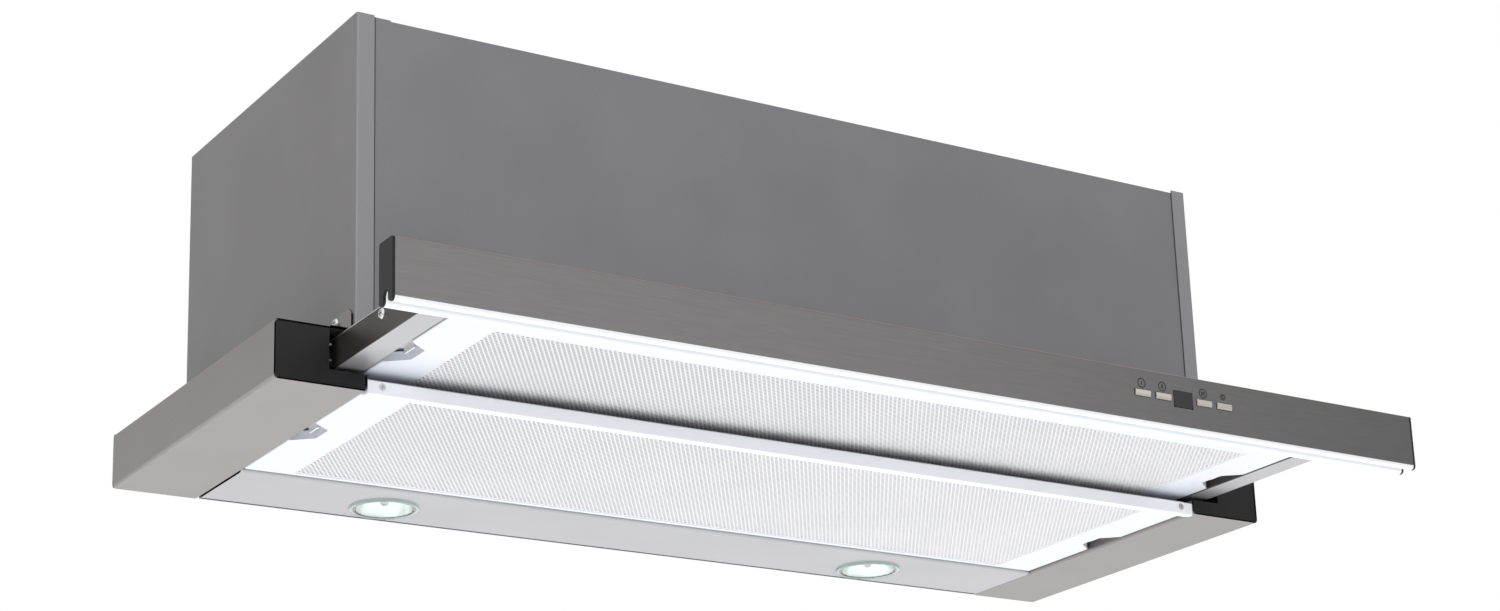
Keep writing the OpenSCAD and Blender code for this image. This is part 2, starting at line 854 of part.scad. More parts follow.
// Half-round flap that lies shut on its own weight, with a pivot pin at each end
module flap() {
    disc_r = collar_in - 0.6;
    pin_half = collar_in - 0.6;
    translate([0, back_y - collar_y, flap_z]) {
        along_z(-flap_t / 2, flap_t / 2)
            intersection() {
                circle(disc_r);
                area([-disc_r, flap_axis - 1.8], [disc_r, disc_r]);
            }
        translate([0, flap_axis, 0]) rod_x(-pin_half - 1.4, pin_half + 1.4, flap_pin_r);
    }
}

module rear_flap() {
    color(zinc) flap();
}

module front_flap() {
    duct_y = back_y - collar_y;
    color(zinc)
        translate([0, 2 * duct_y, 0]) mirror([0, 1, 0]) flap();
}

// ---------------------------------------------------------------- electrics

box_x0 = -300;
box_x1 = -180;
box_z0 = wing_top_z + 130;
box_h = 80;
box_d = 44;

// Terminal and control box on the back sheet, lid and base as one closed housing
module control_box() {
    y1 = back_y - 2 * sheet - fit_gap / 3;
    color(white_plastic) {
        along_y(y1 - box_d + 6, y1) round_area([box_x0, box_z0], [box_x1, box_z0 + box_h], 3);
        along_y(y1 - box_d, y1 - box_d + 5)
            round_area([box_x0 - 1, box_z0 - 1], [box_x1 + 1, box_z0 + box_h + 1], 4);
        along_y(y1 - box_d + 4, y1 - box_d + 7)
            round_area([box_x0 + 2, box_z0 + 2], [box_x1 - 2, box_z0 + box_h - 2], 3);
    }
}

// Motor capacitor beside the control box
module capacitor() {
    r = 16;
    color(white_plastic)
        translate([0, back_y - 2 * sheet - r - 2, box_z0 + box_h / 2]) {
            rod_x(box_x1 + 4, box_x1 + 60, r);
            rod_x(box_x1, box_x1 + 5, 6);
        }
}

// Cable gland in the roof: flange, body, dome nut and the lock nut below
module cable_gland() {
    bore_r = 4.5;
    color(black_plastic)
        translate([gland_x, gland_y, roof_z])
            difference() {
                union() {
                    translate([0, 0, -8]) cylinder(h = 10, r = gland_hole_r - 0.2);
                    cylinder(h = 4, r = 12, $fn = 6);
                    cylinder(h = 12, r = 9);
                    translate([0, 0, 12 - eps]) cylinder(h = 6, r1 = 9, r2 = 6.5);
                    translate([0, 0, -sheet - 5]) cylinder(h = 5, r = 12, $fn = 6);
                }
                translate([0, 0, -9]) cylinder(h = 30, r = bore_r);
            }
}

// ---------------------------------------------------------------- filters

filter_skin = 1;
pocket_wall = 1;

// Outline of the latch pocket at the right end, in X and Y, centred on its latch
module pocket_outline(grow) {
    polygon([
        [filter_half + cut, -pocket_w / 2 - grow], [filter_half + cut, pocket_w / 2 + grow],
        [filter_half, pocket_w / 2 + grow],
        [filter_half - pocket_depth - grow, pocket_inner_w / 2 + grow],
        [filter_half - pocket_depth - grow, -pocket_inner_w / 2 - grow],
        [filter_half, -pocket_w / 2 - grow]
    ]);
}

// Folded cassette frame with its window and the two latch pockets
module filter_frame(y0, y1, z0, border) {
    mid = (y0 + y1) / 2;
    window_half = filter_half - filter_end_border;
    latch_z = z0 + latch_rise;
    difference() {
        union() {
            along_y(y0, y1)
                difference() {
                    round_area([-filter_half, z0], [filter_half, z0 + filter_t], 1.5);
                    area([-filter_half + filter_skin, z0 + filter_skin],
                         [filter_half - filter_skin, z0 + filter_t - filter_skin]);
                }
            for (y = [y0, y1 - filter_skin])
                block([-filter_half + 1.2, y, z0 + filter_skin / 2],
                      [filter_half - 1.2, y + filter_skin, z0 + filter_t - filter_skin / 2]);
            for (s = [-1, 1])
                scale([s, 1, 1])
                    translate([0, mid, 0])
                        along_z(z0 + filter_skin / 2, latch_z - fit_gap)
                            intersection() {
                                pocket_outline(pocket_wall);
                                area([0, -pocket_w], [filter_half - filter_skin / 2, pocket_w]);
                            }
        }
        block([-window_half, y0 + border, z0 - cut], [window_half, y1 - border, z0 + filter_t + cut]);
        for (s = [-1, 1])
            scale([s, 1, 1])
                translate([0, mid, 0]) {
                    along_z(z0 - cut, latch_z - fit_gap + eps) pocket_outline(0);
                    block([filter_half - 4, -latch_w / 2 - slot_clear, latch_z - slot_clear],
                          [filter_half + cut, latch_w / 2 + slot_clear, latch_z + latch_t + slot_clear]);
                }
    }
}

// Thin sheet pierced by staggered lozenges, as expanded metal is
module filter_mesh(y0, y1, z0, border) {
    overlap = 3;
    half = filter_half - filter_end_border + overlap;
    half_d = (y1 - y0) / 2 - border + min(overlap, border - 1.5);
    cols = floor((half - 3) / mesh_pitch_x);
    rows = floor((half_d - 3) / mesh_pitch_y);
    hx = (mesh_pitch_x - mesh_strand * 1.4) / 2;
    hy = (mesh_pitch_y - mesh_strand) / 2;
    translate([0, (y0 + y1) / 2, 0])
        along_z(z0 + filter_skin + 0.1, z0 + filter_skin + 0.7)
            difference() {
                square([2 * half, 2 * half_d], center = true);
                for (i = [-2 * cols : 2 * cols], j = [-2 * rows : 2 * rows])
                    if ((i + j) % 2 == 0 && abs(i) <= 2 * cols - 1 && abs(j) <= 2 * rows - 1)
                        translate([i * mesh_pitch_x / 2, j * mesh_pitch_y / 2])
                            polygon([[-hx, 0], [0, -hy], [hx, 0], [0, hy]]);
            }
}

// Pack of mesh layers between the two skins
module filter_pad(y0, y1, z0, border) {
    half = filter_half - filter_end_border + 3;
    half_d = (y1 - y0) / 2 - border + min(3, border - 1.5);
    translate([0, (y0 + y1) / 2, 0])
        along_z(z0 + filter_skin + 0.9, z0 + filter_t - filter_skin - 0.2)
            square([2 * half, 2 * half_d], center = true);
}

// Sprung latch: slider, finger grip and the bolt that enters the slot in the lip
module latch(mid_y, z0) {
    z = z0 + latch_rise;
    in_x = filter_half - pocket_depth - 8;
    bolt_x = lip_x + 3;
    grip_x = filter_half - 5.5 - latch_travel;
    translate([0, mid_y, 0]) {
        block([in_x, -latch_w / 2, z], [bolt_x, latch_w / 2, z + latch_t]);
        block([grip_x, -latch_w / 2 + 1, z - 4.5], [grip_x + 1.5, latch_w / 2 - 1, z + eps]);
    }
}

module fixed_filter_frame() {
    color(white_aluminium)
        filter_frame(fixed_filter_y0, fixed_filter_y1, fixed_filter_z, fixed_border);
}

module fixed_filter_mesh() {
    color(white_aluminium)
        filter_mesh(fixed_filter_y0, fixed_filter_y1, fixed_filter_z, fixed_border);
}

module fixed_filter_pad() {
    color(white_aluminium)
        filter_pad(fixed_filter_y0, fixed_filter_y1, fixed_filter_z, fixed_border);
}

module fixed_right_latch() {
    color(zinc) latch(fixed_latch_y, fixed_filter_z);
}

module fixed_left_latch() {
    color(zinc) on_left() latch(fixed_latch_y, fixed_filter_z);
}

moving_filter_z = rail_z;
moving_filter_y1 = cap_y + 47;
moving_filter_y0 = moving_filter_y1 - moving_filter_d;
moving_latch_y = (moving_filter_y0 + moving_filter_y1) / 2;

module moving_filter_frame() {
    color(white_aluminium)
        filter_frame(moving_filter_y0, moving_filter_y1, moving_filter_z, moving_border);
}

module moving_filter_mesh() {
    color(white_aluminium)
        filter_mesh(moving_filter_y0, moving_filter_y1, moving_filter_z, moving_border);
}

module moving_filter_pad() {
    color(white_aluminium)
        filter_pad(moving_filter_y0, moving_filter_y1, moving_filter_z, moving_border);
}

module moving_right_latch() {
    color(zinc) latch(moving_latch_y, moving_filter_z);
}

module moving_left_latch() {
    color(zinc) on_left() latch(moving_latch_y, moving_filter_z);
}

// ---------------------------------------------------------------- drawer front

front_sheet = 1;
lobe_w = (front_t - groove_w) / 2;
lobe_r = lobe_w / 2;
profile_half = half_w - end_cap_t;

// Section of the drawer front above its groove, in Y and Z
module front_section() {
    top_r = 1.5;
    round_area([front_y, groove_depth], [front_back_y, front_h], top_r);
    area([front_y, groove_depth], [front_back_y, groove_depth + 2 * top_r]);
}

// Section of a bar under the drawer front, round below, with its front face at y0
module lip_section(y0) {
    translate([y0 + lobe_r, lobe_r]) circle(lobe_r);
    area([y0, lobe_r], [y0 + lobe_w, groove_depth]);
}

// Middles of the four keys, along X
key_xs = [keys_x - key_gap - key_pitch, keys_x - key_gap, keys_x + key_gap, keys_x + key_gap + key_pitch];
window_w = 18.5;
window_h = 13;

// Hollow stainless section with the key holes and the display hole in its face
module drawer_front() {
    hole = 0.3;
    color(stainless)
        difference() {
            along_x(-profile_half, profile_half) front_section();
            along_x(-profile_half - cut, profile_half + cut)
                area([front_y + front_sheet, groove_depth + front_sheet],
                     [front_back_y - front_sheet, front_h - front_sheet]);
            for (x = key_xs)
                block([x - key_w / 2 - hole, front_y - cut, keys_z - key_h / 2 - hole],
                      [x + key_w / 2 + hole, front_y + front_sheet + cut, keys_z + key_h / 2 + hole]);
            block([keys_x - window_w / 2 - hole, front_y - cut, keys_z - window_h / 2 - hole],
                  [keys_x + window_w / 2 + hole, front_y + front_sheet + cut, keys_z + window_h / 2 + hole]);
        }
}

// Bar below the face, in front of the finger groove
module front_lip() {
    color(white_aluminium)
        along_x(-profile_half, profile_half) lip_section(front_y);
}

// Bar behind the finger groove
module rear_lip() {
    color(white_aluminium)
        along_x(-profile_half, profile_half) lip_section(front_back_y - lobe_w);
}

// Plastic cap on an end of the drawer front, with a bell-shaped groove, plugged into its hollow
module end_cap() {
    plug = 10;
    low = groove_depth + front_sheet + fit_gap;
    bell_r = groove_w / 2;
    along_x(profile_half, half_w)
        difference() {
            union() {
                front_section();
                lip_section(front_y);
                lip_section(front_back_y - lobe_w);
                area([front_y + lobe_r, groove_depth - bell_r], [front_back_y - lobe_r, groove_depth + eps]);
            }
            translate([front_y + front_t / 2, groove_depth - bell_r]) circle(bell_r);
        }
    along_x(profile_half - plug, profile_half + eps)
        area([front_y + front_sheet + fit_gap, low],
             [front_back_y - front_sheet - fit_gap, front_h - front_sheet - fit_gap]);
}

module left_end_cap() {
    color(black_plastic) on_left() end_cap();
}

module right_end_cap() {
    color(black_plastic) end_cap();
}

// Dark glass over the display, held in the face
module display_window() {
    color(black_plastic) {
        along_y(front_y - 0.3, front_y + front_sheet + 1)
            round_area([keys_x - window_w / 2, keys_z - window_h / 2],
                       [keys_x + window_w / 2, keys_z + window_h / 2], 2);
        along_y(front_y + front_sheet + 0.2, front_y + front_sheet + 1.4)
            area([keys_x - window_w / 2 - 1.5, keys_z - window_h / 2 - 1.5],
                 [keys_x + window_w / 2 + 1.5, keys_z + window_h / 2 + 1.5]);
    }
}

key_flange = 1.2;
key_root = 4.5;
board_y = front_y + front_sheet + 8;

// Key number i: bevelled face, body and the flange that keeps it in its hole
module key(i) {
    bevel = 0.8;
    half = [key_w / 2, key_h / 2];
    face_y = front_y - key_proud;
    bevel_y = face_y + bevel;
    translate([key_xs[i], 0, keys_z]) {
        along_y(bevel_y, front_y + front_sheet + key_root)
            area(-half, half);
        along_x(-half.x, half.x)
            polygon([
                [bevel_y + eps, -half.y], [bevel_y + eps, half.y],
                [face_y, half.y - bevel], [face_y, 2 * bevel - half.y]
            ]);
        along_y(front_y + front_sheet + fit_gap, front_y + front_sheet + fit_gap + key_flange)
            area(-half - [0.9, 1.5], half + [0.9, 1.5]);
    }
}

module power_key() {
    color(zinc) key(0);
}

module slow_key() {
    color(zinc) key(1);
}

module fast_key() {
    color(zinc) key(2);
}

module light_key() {
    color(zinc) key(3);
}

// Circuit board behind the keys, with a switch for each and two posts to the face
module control_board() {
    span = key_gap + key_pitch + 22;
    board_low = groove_depth + front_sheet + fit_gap;
    board_high = front_h - front_sheet - fit_gap;
    switch_y = front_y + front_sheet + key_root + key_travel + 0.2;
    color([0.1, 0.35, 0.2]) {
        block([keys_x - span, board_y, board_low], [keys_x + span, board_y + 1.6, board_high]);
        for (x = key_xs)
            block([x - 3, switch_y, keys_z - 2.5], [x + 3, board_y + eps, keys_z + 2.5]);
        for (x = [keys_x - span + 4, keys_x + span - 4])
            translate([x, front_y + front_sheet, (board_low + board_high) / 2]) rotate([-90, 0, 0])
                cylinder(h = board_y - front_y - front_sheet + eps, r = 2.5);
    }
}

// ---------------------------------------------------------------- drawer body

rail_y1 = glide_y1;
rail_fold_r = 1.5;
cover_y1 = moving_filter_y1 + 22;
rail_screw_y = cap_y - 72;
rail_screw_z = rail_z + 16;

// Folded rail: outer side, bottom flange, and the slotted lip beside the filter
module rail() {
    lip_h = wing_lip_h;
    difference() {
        along_y(front_back_y, rail_y1)
            difference() {
                round_area([lip_x, rail_z], [rail_x, rail_z + rail_h], rail_fold_r);
                round_area([lip_x + sheet, rail_z + sheet], [rail_x - sheet, rail_z + rail_h + 4],
                           rail_fold_r - sheet);
                area([lip_x - cut, rail_z + lip_h], [rail_x - sheet, rail_z + rail_h + cut]);
            }
        latch_slot(moving_latch_y, moving_filter_z);
        translate([0, rail_screw_y, rail_screw_z]) rod_x(rail_x - 2 * sheet, rail_x + cut, 2);
    }
    block([rail_x - sheet - 12, front_back_y, rail_z + sheet / 2],
          [rail_x - sheet / 2, front_back_y + sheet, rail_z + rail_h - 1]);
}

module left_rail() {
    color(stainless) on_left() rail();
}

module right_rail() {
    color(stainless) rail();
}

// Sheet over the drawer, which keeps the air passage above the moving filter
module drawer_cover() {
    z = rail_z + rail_h;
    color(zinc) {
        block([-rail_x, front_back_y, z], [rail_x, cover_y1, z + sheet]);
        block([-lip_x, front_back_y, z - 8], [lip_x, front_back_y + sheet, z + eps]);
    }
}

// Rear cross member, pierced for the air that has passed the moving filter
module drawer_crossmember() {
    z0 = rail_z;
    z1 = rail_z + rail_h;
    y0 = moving_filter_y1 + 2;
    half = rail_x - sheet - fit_gap;
    slot_w = 56;
    slot_pitch = 72;
    slots = floor((lip_x - 20) / slot_pitch);
    color(zinc)
        difference() {
            union() {
                block([-lip_x + fit_gap, y0, z0], [lip_x - fit_gap, y0 + 15, z0 + sheet]);
                block([-lip_x + fit_gap, y0 + 7, z0], [lip_x - fit_gap, y0 + 8, z1]);
                block([-half, y0 + 7, z0 + wing_lip_h + 1], [half, y0 + 8, z1]);
            }
            for (i = [-slots + 0.5 : slots - 0.5])
                translate([i * slot_pitch, 0, 0])
                    along_y(y0 + 6, y0 + 9) round_area([-slot_w / 2, z0 + 4], [slot_w / 2, z1 - 4], 4);
        }
}

// Plastic glides on the rails, which run in the fixed channels
module drawer_glides() {
    groove = 0.8;
    color(white_plastic)
        on_both()
            along_y(glide_y0, glide_y1)
                difference() {
                    area([rail_x, glide_z0], [rail_x + glide_depth, glide_z0 + glide_h]);
                    area([rail_x + glide_depth - groove, glide_z0 + glide_h / 2 - 1.5],
                         [rail_x + glide_depth + cut, glide_z0 + glide_h / 2 + 1.5]);
                }
}

// Pan-head screws on the rails' outer sides
module rail_screws() {
    color(zinc)
        on_both()
            translate([rail_x, rail_screw_y, rail_screw_z]) rotate([0, 90, 0])
                pan_screw(4.2, rail_screw_head, 1.8, sheet + 3);
}

left_side_panel();
right_side_panel();
front_panel();
back_panel();
roof_panel();
left_wing();
right_wing();
left_wing_cap();
right_wing_cap();
cross_bar();
lamp_panel();
lamp_cans();
lamp_reflectors();
lamp_capsules();
lamp_glasses();
left_brackets();
right_brackets();
hood_screws();
left_runner();
right_runner();
runner_buffers();
blower_scroll();
outlet_adapter();
fan_motor();
motor_bracket();
duct_collar();
control_box();
capacitor();
cable_gland();
fixed_filter_frame();
fixed_filter_mesh();
fixed_filter_pad();
fixed_left_latch();
fixed_right_latch();
impeller();
motor_shaft();
front_flap();
rear_flap();
drawer_front();
front_lip();
rear_lip();
left_end_cap();
right_end_cap();
left_rail();
right_rail();
drawer_cover();
drawer_crossmember();
drawer_glides();
rail_screws();
display_window();
control_board();
moving_filter_frame();
moving_filter_mesh();
moving_filter_pad();
moving_left_latch();
moving_right_latch();
power_key();
slow_key();
fast_key();
light_key();
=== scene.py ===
import json
import math

import bpy
from mathutils import Euler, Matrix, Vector


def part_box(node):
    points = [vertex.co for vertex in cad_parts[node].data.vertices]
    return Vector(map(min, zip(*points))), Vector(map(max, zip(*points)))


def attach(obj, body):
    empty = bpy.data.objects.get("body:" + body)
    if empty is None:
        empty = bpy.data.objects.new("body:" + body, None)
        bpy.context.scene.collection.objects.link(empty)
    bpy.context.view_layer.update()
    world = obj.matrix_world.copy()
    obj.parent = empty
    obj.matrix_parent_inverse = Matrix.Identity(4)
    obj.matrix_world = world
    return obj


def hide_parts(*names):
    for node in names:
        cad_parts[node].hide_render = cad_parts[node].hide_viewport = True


# Looks of a pull-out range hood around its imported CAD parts. Lengths are in metres.
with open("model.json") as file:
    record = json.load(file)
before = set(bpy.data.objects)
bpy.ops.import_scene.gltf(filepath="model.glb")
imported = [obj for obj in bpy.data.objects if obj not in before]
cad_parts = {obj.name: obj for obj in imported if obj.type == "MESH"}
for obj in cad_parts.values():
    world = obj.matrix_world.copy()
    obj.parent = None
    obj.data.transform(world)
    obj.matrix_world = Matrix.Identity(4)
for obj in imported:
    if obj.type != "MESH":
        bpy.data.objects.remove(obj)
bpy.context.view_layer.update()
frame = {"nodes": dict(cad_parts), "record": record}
MM = 0.001

# The photograph's camera, fitted to corners of the hood whose places are known
CAMERA_AT = (-1.2346, -1.8879, -0.6442)
CAMERA_TURN = (107.004, 1.874, -32.182)
FOCAL_MM = 71.65
SENSOR_MM = 36.0
# The photograph's middle lies a little above the optical axis
RISE = 0.08

# Grease filters: openings of the expanded skin, and how it lies in its frame
MESH_PITCH_X = 3.85 * MM
MESH_ROW_Y = 2.85 * MM
MESH_STRAND = 1.15 * MM
MESH_DEPTH = 0.45 * MM
MESH_LIFT = 0.1 * MM
MESH_RIM = 3.0 * MM
RIM_GAP = 0.02 * MM
RIM_T = 0.3 * MM
FILTER_END_BORDER = 39 * MM
FIXED_BORDER = 5 * MM
MOVING_BORDER = 22 * MM

# Painted shade in the seam beside the cabinet's side flanges, in mm in from its sides. It is drawn narrower
# on the right.
SEAM_START = 1.5
SEAM_FULL = 1.0
SEAM_NARROWER = 0.8

# Heights on the drawer front where its steel gives way to white aluminium, and where the painted reflection
# along its top edge starts
LIP_TOP = 3.26 * MM
GROOVE_TOP = 9.4 * MM
TOP_REFLECTION_Z = 43.1 * MM

# Printed signs over the keys
SIGN_RISE = 7.75 * MM
SIGN_R = 3.95 * MM
SIGN_STROKE = 0.95 * MM
SIGN_BAR = 1.7 * MM
BAR_PITCH = 1.25 * MM
SUN_R = 1.95 * MM
RAY_R = 2.9 * MM
RAY_GAP = 0.1 * MM
RAYS = 8
RING_PARTS = 40
PRINT_T = 0.05 * MM
KEY_BEVEL = 1.1 * MM

# Brush lines of steel: their width in mm, how far they are drawn out, and how much they spread reflections
BRUSH_LINE_MM = 0.35
BRUSH_STRETCH = 0.012
BRUSH_SPREAD = 0.75
# Broad clouds in paint and plastic, per mm
CLOUDS = 0.012

# Studio: the darker patch of the world fades in between two cosines, and its light has a lowest level
PATCH_EDGE = 0.962
PATCH_HEART = 0.99
LEAST_LIGHT = 0.08
FLOOR_Z = -1.5
FLOOR_HALF = 40.0


# ------------------------------------------------------------------ materials


class Look:
    """A material, with short ways to add nodes to it."""

    def __init__(self, name, colour, rough, metal=0.0, **sockets):
        self.material = bpy.data.materials.new(name)
        self.material.use_nodes = True
        self.tree = self.material.node_tree
        self.shader = self.tree.nodes["Principled BSDF"]
        self.set("Base Color", (*colour, 1))
        self.set("Roughness", rough)
        self.set("Metallic", metal)
        for socket, value in sockets.items():
            self.set(socket.replace("_", " "), value)

    def set(self, socket, value):
        self.shader.inputs[socket].default_value = value

    def node(self, kind, inputs=(), **settings):
        made = self.tree.nodes.new("ShaderNode" + kind)
        for name, value in settings.items():
            setattr(made, name, value)
        for name, value in dict(inputs).items():
            if isinstance(value, bpy.types.NodeSocket):
                self.tree.links.new(value, made.inputs[name])
            else:
                made.inputs[name].default_value = value
        return made

    def place(self, stretch=(1, 1, 1), turn=(0, 0, 0)):
        """The point on the object in millimetres, stretched."""
        at = self.node("TexCoord").outputs["Object"]
        scale = [1000 * s for s in stretch]
        return self.node("Mapping", {"Vector": at, "Scale": scale, "Rotation": turn}).outputs[0]

    def noise(self, at, scale, detail=2.0, rough=0.5):
        inputs = {"Vector": at, "Scale": scale, "Detail": detail, "Roughness": rough}
        return self.node("TexNoise", inputs).outputs["Fac"]

    def ramp(self, value, *stops):
        """Colours by value: each stop is (value, grey or colour)."""
        made = self.node("ValToRGB", {"Fac": value})
        ends = made.color_ramp.elements
        while len(ends) < len(stops):
            ends.new(0.5)
        for end, (at, colour) in zip(ends, stops):
            end.position = at
            end.color = (*colour, 1) if hasattr(colour, "__len__") else (colour, colour, colour, 1)
        return made.outputs["Color"]

    def range(self, value, low, high, start=0.3, stop=0.7):
        inputs = {"Value": value, "From Min": start, "From Max": stop, "To Min": low, "To Max": high}
        return self.node("MapRange", inputs).outputs["Result"]

    def mix(self, share, a, b, blend="MIX"):
        made = self.node("Mix", data_type="RGBA", blend_type=blend)
        for socket, value in zip([made.inputs[0], made.inputs[6], made.inputs[7]], [share, a, b]):
            if isinstance(value, bpy.types.NodeSocket):
                self.tree.links.new(value, socket)
            else:
                socket.default_value = value if isinstance(value, float) else (*value, 1)
        return made.outputs[2]

    def calc(self, operation, *values):
        return self.node("Math", dict(enumerate(values)), operation=operation).outputs[0]

    def normal(self, letter):
        """How far a face looks along an axis, from -1 to 1."""
        way = self.node("NewGeometry").outputs["Normal"]
        return self.node("SeparateXYZ", {"Vector": way}).outputs[letter]

    def drive(self, socket, value):
        self.tree.links.new(value, self.shader.inputs[socket])

    def bump(self, height, strength, depth_mm):
        inputs = {"Height": height, "Strength": strength, "Distance": depth_mm * MM}
        self.drive("Normal", self.node("Bump", inputs).outputs["Normal"])

    def facing(self, letter, sign=0):
        """1 on faces that look along an axis, either way or one way only, and 0 on others."""
        part = self.normal(letter)
        part = self.calc("MULTIPLY", part, float(sign)) if sign else self.calc("ABSOLUTE", part)
        return self.range(part, 0.0, 1.0, 0.45, 0.6)

    def brush(self, along):
        """Draws reflections out across the brush lines."""
        axis = [float(letter == along) for letter in "XYZ"]
        normal = self.node("NewGeometry").outputs["Normal"]
        across = self.node("VectorMath", {0: normal, 1: axis}, operation="CROSS_PRODUCT")
        self.set("Anisotropic", BRUSH_SPREAD)
        self.drive("Tangent", across.outputs["Vector"])


def shades(colour, share):
    """The colour a little darker and a little lighter."""
    return [tuple(c * (1 - share) for c in colour), tuple(min(c * (1 + share), 1) for c in colour)]


def grainy(name, colour, rough, metal, grain_mm, bump_mm, spread=0.06, other=None, **sockets):
    """Paint or plastic with fine grain and faint clouds. Other paints light: a second colour on the faces
    that look one way.
    """
    look = Look(name, colour, rough, metal, **sockets)
    at = look.place()
    grain = look.noise(at, 1 / grain_mm, 3.0, 0.6)
    clouds = look.noise(at, CLOUDS, 2.0)
    dark, light = shades(colour, spread / 2)
    cloudy = look.ramp(clouds, (0.3, dark), (0.7, light))
    if other:
        letter, sign, second = other
        cloudy = look.mix(look.facing(letter, sign), cloudy, second)
    speckle = look.ramp(grain, (0.3, 1 - 1.2 * spread), (0.7, 1.0))
    look.drive("Base Color", look.mix(1.0, cloudy, speckle, "MULTIPLY"))
    look.drive("Roughness", look.range(grain, rough - 0.06, rough + 0.06))
    look.bump(grain, 0.5, bump_mm)
    return look.material


def brushed(name, colour, rough, along, metal=0.85, spread=0.13, other=None):
    """Steel or aluminium with fine brush lines along one axis. Other paints shade: a second colour on the
    faces that look one way.
    """
    look = Look(name, colour, rough, metal)
    stretch = [1.0, 1.0, 1.0]
    stretch["XYZ".index(along)] = BRUSH_STRETCH
    lines = look.noise(look.place(stretch), 1 / BRUSH_LINE_MM, 3.0, 0.65)
    clouds = look.noise(look.place(), 0.01, 2.0)
    dark, light = shades(colour, spread)
    streaks = look.ramp(lines, (0.25, dark), (0.75, light))
    cloudy = look.ramp(clouds, (0.3, 0.94), (0.7, 1.0))
    if other:
        letter, sign, second = other
        streaks = look.mix(look.facing(letter, sign), streaks, second)
    look.drive("Base Color", look.mix(1.0, streaks, cloudy, "MULTIPLY"))
    look.drive("Roughness", look.range(lines, rough - 0.07, rough + 0.07))
    look.bump(lines, 0.25, 0.02)
    look.brush(along)
    return look.material


def paint_with_seam_shade(name, colour, seam_x):
    """Painted front sheet with painted shade in the gap beside each side flange, narrower on the right."""
    look = Look(name, colour, 0.42, 0.35)
    at = look.place()
    grain = look.noise(at, 1.1, 3.0, 0.6)
    clouds = look.noise(at, CLOUDS, 2.0)
    dark, light = shades(colour, 0.05)
    cloudy = look.ramp(clouds, (0.3, dark), (0.7, light))
    speckle = look.ramp(grain, (0.3, 0.88), (0.7, 1.0))
    painted = look.mix(1.0, cloudy, speckle, "MULTIPLY")
    x = look.node("SeparateXYZ", {"Vector": at}).outputs["X"]
    left = look.calc("MULTIPLY", x, -1.0)
    right = look.calc("SUBTRACT", x, SEAM_NARROWER)
    aside = look.calc("MAXIMUM", left, right)
    # Painted shade: near black in the gap beside each flange
    gap = look.range(aside, 0.0, 1.0, seam_x - SEAM_START, seam_x - SEAM_FULL)
    look.drive("Base Color", look.mix(gap, painted, (0.02, 0.02, 0.022)))
    look.bump(grain, 0.5, 0.03)
    return look.material


def steel_over_aluminium(name, steel, white):
    """Brushed steel on the drawer front's face with a painted brownish reflection along its top edge, and
    white aluminium on its round lips and in its groove.
    """
    look = Look(name, steel, 0.34, 0.85)
    lines = look.noise(look.place((BRUSH_STRETCH, 1, 1)), 2.9, 3.0, 0.65)
    dark, light = shades(steel, 0.12)
    streaks = look.ramp(lines, (0.25, dark), (0.75, light))
    at = look.node("TexCoord").outputs["Object"]
    height = look.node("SeparateXYZ", {"Vector": at}).outputs["Z"]
    looks_back = look.calc("GREATER_THAN", look.normal("Y"), 0.5)
    looks_down = look.calc("LESS_THAN", look.normal("Z"), -0.5)
    inner = look.calc("MULTIPLY", looks_back, look.calc("LESS_THAN", height, GROOVE_TOP))
    low = look.calc("MAXIMUM", look.calc("LESS_THAN", height, LIP_TOP), looks_down)
    bare = look.calc("MAXIMUM", low, inner)
    # Painted reflection: a brownish line along the top edge of the face
    edge = look.calc("GREATER_THAN", height, TOP_REFLECTION_Z)
    face = look.mix(edge, streaks, (0.36, 0.3, 0.27))
    look.drive("Base Color", look.mix(bare, face, white))
    look.drive("Roughness", look.range(bare, 0.34, 0.32, 0.0, 1.0))
    look.drive("Metallic", look.range(bare, 0.85, 0.25, 0.0, 1.0))
    look.bump(lines, 0.25, 0.02)
    look.brush("X")
    return look.material


def zinc_plate(name, colour, rough):
    """Plated steel with its faint crystal spangle."""
    look = Look(name, colour, rough, 0.9)
    at = look.place()
    cells = look.node("TexVoronoi", {"Vector": at, "Scale": 0.16})
    grey = look.node("SeparateColor", {"Color": cells.outputs["Color"]}).outputs[0]
    dark, light = shades(colour, 0.1)
    look.drive("Base Color", look.ramp(grey, (0.1, dark), (0.9, light)))
    look.drive("Roughness", look.range(grey, rough - 0.08, rough + 0.08, 0.0, 1.0))
    look.bump(look.noise(at, 0.8, 2.0), 0.2, 0.03)
    return look.material


def polished(name, colour, rough, metal=1.0):
    """Chrome, mirror or glossy plastic: nearly even, with fine wipe marks."""
    look = Look(name, colour, rough, metal)
    marks = look.noise(look.place((1, 1, 0.2)), 0.9, 3.0, 0.6)
    look.drive("Roughness", look.range(marks, rough * 0.7, rough * 1.6))
    dark, light = shades(colour, 0.04)
    look.drive("Base Color", look.ramp(marks, (0.3, dark), (0.7, light)))
    return look.material


def clear_glass(name, colour, edge, rough):
    """Clear through its faces, and greenish and dull round its edge."""
    look = Look(name, colour, rough, 0.0, IOR=1.5)
    marks = look.noise(look.place(), 0.35, 2.0)
    look.drive("Roughness", look.range(marks, rough * 0.6, rough * 1.6))
    face = look.range(look.calc("ABSOLUTE", look.normal("Z")), 0.0, 1.0, 0.4, 0.7)
    look.drive("Base Color", look.mix(face, edge, colour))
    look.drive("Transmission Weight", face)
    return look.material


def circuit_board(name, colour, track_colour):
    """Lacquered board with lighter tracks."""
    look = Look(name, colour, 0.35)
    at = look.place(turn=(math.pi / 2, 0, 0))
    tracks = look.node("TexBrick", {"Vector": at, "Scale": 0.25}, offset=0.3)
    look.tree.nodes.active = tracks
    look.drive("Base Color", look.ramp(tracks.outputs["Fac"], (0.4, colour), (0.6, track_colour)))
    look.bump(tracks.outputs["Fac"], 0.3, 0.05)
    return look.material


